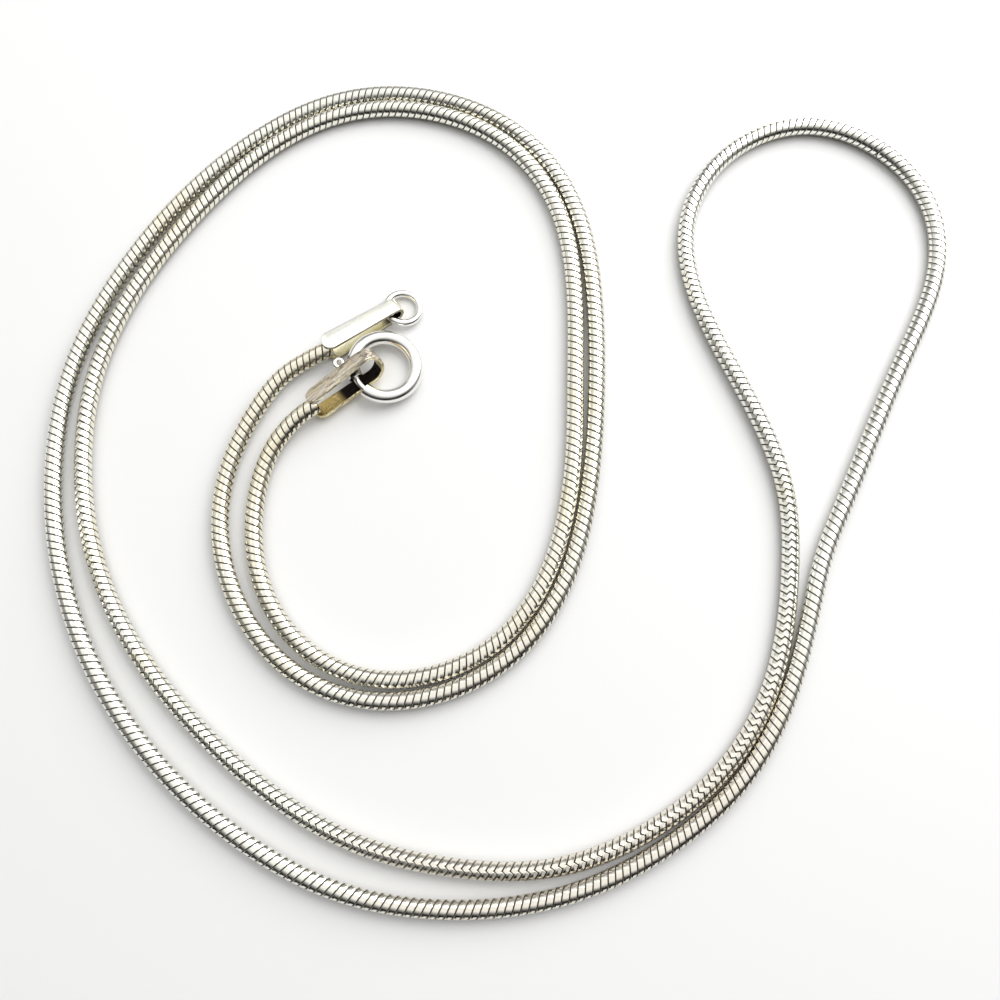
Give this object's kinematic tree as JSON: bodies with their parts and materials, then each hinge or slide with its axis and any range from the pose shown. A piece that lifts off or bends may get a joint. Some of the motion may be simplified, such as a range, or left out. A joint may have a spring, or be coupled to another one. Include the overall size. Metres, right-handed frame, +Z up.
{
  "type": "snake chain necklace",
  "caption": "Round snake chain necklace with a spring ring clasp and an end ring on folded sheet tabs, unclasped and laid doubled in a loose spiral.",
  "frame": {"origin": "on the surface the necklace lies on, under the middle of the laid chain's box", "axes": "+Z up from the surface; +X across the spiral towards the far loop; +Y away from the viewer, in the plane of the surface"},
  "size_m": [0.0792, 0.0734, 0.0032],
  "materials": {
    "chain_silver": "polished silver-coloured metal with slight yellow tarnish",
    "tab_silver": "rolled silver-coloured sheet, warm tarnish",
    "clasp_silver": "bright polished silver-coloured metal"
  },
  "bodies": {
    "necklace": {"chain_ring_half": "chain_silver", "chain_clasp_half": "chain_silver", "ring_tab": "tab_silver", "clasp_tab": "tab_silver", "end_ring": "clasp_silver", "spring_ring": "clasp_silver"},
    "bolt": {"bolt": "clasp_silver"}
  },
  "joints": [
    {"name": "bolt_slide", "type": "hinge", "parent": "necklace", "child": "bolt", "pos_m": [-0.01069, 0.0086, 0.00105], "axis": [-0.1564, 0, -0.9877], "range_deg": [0, 30], "stiffness_Nm_per_rad": 0.002, "springref_deg": -28.65}
  ]
}
